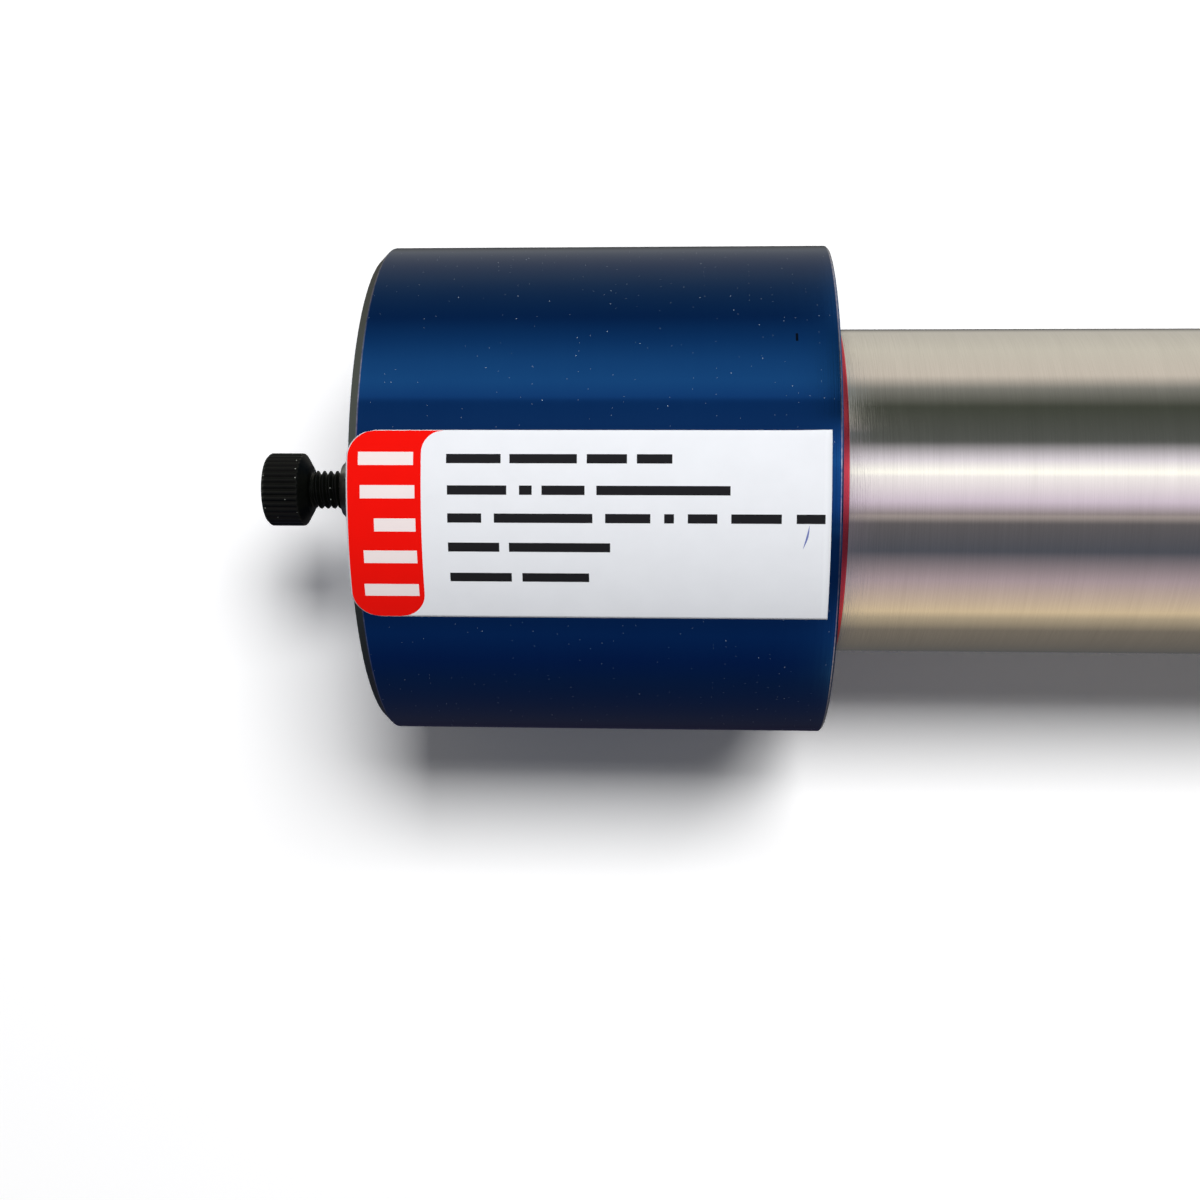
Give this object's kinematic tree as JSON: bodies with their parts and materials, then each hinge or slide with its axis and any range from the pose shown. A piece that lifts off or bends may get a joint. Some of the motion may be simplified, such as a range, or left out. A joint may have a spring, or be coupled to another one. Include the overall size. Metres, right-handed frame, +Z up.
{
  "type": "hplc column",
  "caption": "Preparative liquid chromatography column: steel tube with a packed bed, blue screwed end caps, coned steel end fittings and knurled port plugs.",
  "frame": {"origin": "midway between the end caps along the column, on the surface the caps lie on, below the column's axis", "axes": "+X along the column from the labelled inlet end to the outlet, +Z up, +Y across"},
  "size_m": [0.3416, 0.0572, 0.0573],
  "materials": {
    "cap_blue": "satin blue anodised",
    "ring_red": "glossy red anodised",
    "tube_steel": "ground round the tube",
    "fitting_steel": "turned",
    "frit_steel": "sintered, matte",
    "washer_polymer": "turned",
    "seal_white": "waxy",
    "seal_black": "moulded",
    "plug_black": "moulded, knurled",
    "cone_polymer": "turned",
    "bed_silica": "packed fine powder",
    "label_paper": "glossy printed sticker"
  },
  "bodies": {
    "root": {"inlet_end_cap": "cap_blue", "inlet_collar_ring": "ring_red", "inlet_thrust_washer": "washer_polymer", "inlet_end_fitting": "fitting_steel", "inlet_backup_ring": "seal_white", "inlet_o_ring": "seal_black", "inlet_distributor_plate": "fitting_steel", "inlet_frit": "frit_steel", "inlet_frit_seal": "seal_white", "outlet_end_cap": "cap_blue", "outlet_collar_ring": "ring_red", "outlet_thrust_washer": "washer_polymer", "outlet_end_fitting": "fitting_steel", "outlet_backup_ring": "seal_white", "outlet_o_ring": "seal_black", "outlet_distributor_plate": "fitting_steel", "outlet_frit": "frit_steel", "outlet_frit_seal": "seal_white", "column_tube": "tube_steel", "packed_bed": "bed_silica", "column_label": "label_paper"},
    "inlet_plug_cone": {"inlet_plug_cone": "cone_polymer"},
    "inlet_plug": {"inlet_plug": "plug_black"},
    "outlet_plug_cone": {"outlet_plug_cone": "cone_polymer"},
    "outlet_plug": {"outlet_plug": "plug_black"}
  },
  "joints": [
    {"name": "inlet_cone_slide", "type": "slide", "parent": "root", "child": "inlet_plug_cone", "axis": [-1, 0, 0], "range_m": [0, 0.00714]},
    {"name": "inlet_plug_turn", "type": "hinge", "parent": "inlet_plug_cone", "child": "inlet_plug", "pos_m": [-0.167, 0, 0.02857], "axis": [-1, 0, 0], "range_deg": [0, 3240]},
    {"name": "outlet_cone_slide", "type": "slide", "parent": "root", "child": "outlet_plug_cone", "axis": [1, 0, 0], "range_m": [0, 0.00714]},
    {"name": "outlet_plug_turn", "type": "hinge", "parent": "outlet_plug_cone", "child": "outlet_plug", "pos_m": [0.167, 0, 0.02857], "axis": [1, 0, 0], "range_deg": [0, 3240]}
  ],
  "couplings": [
    {"joint": "inlet_plug_turn", "follows": "inlet_cone_slide", "rad_per_m": 7915.8},
    {"joint": "outlet_plug_turn", "follows": "outlet_cone_slide", "rad_per_m": 7915.8}
  ]
}
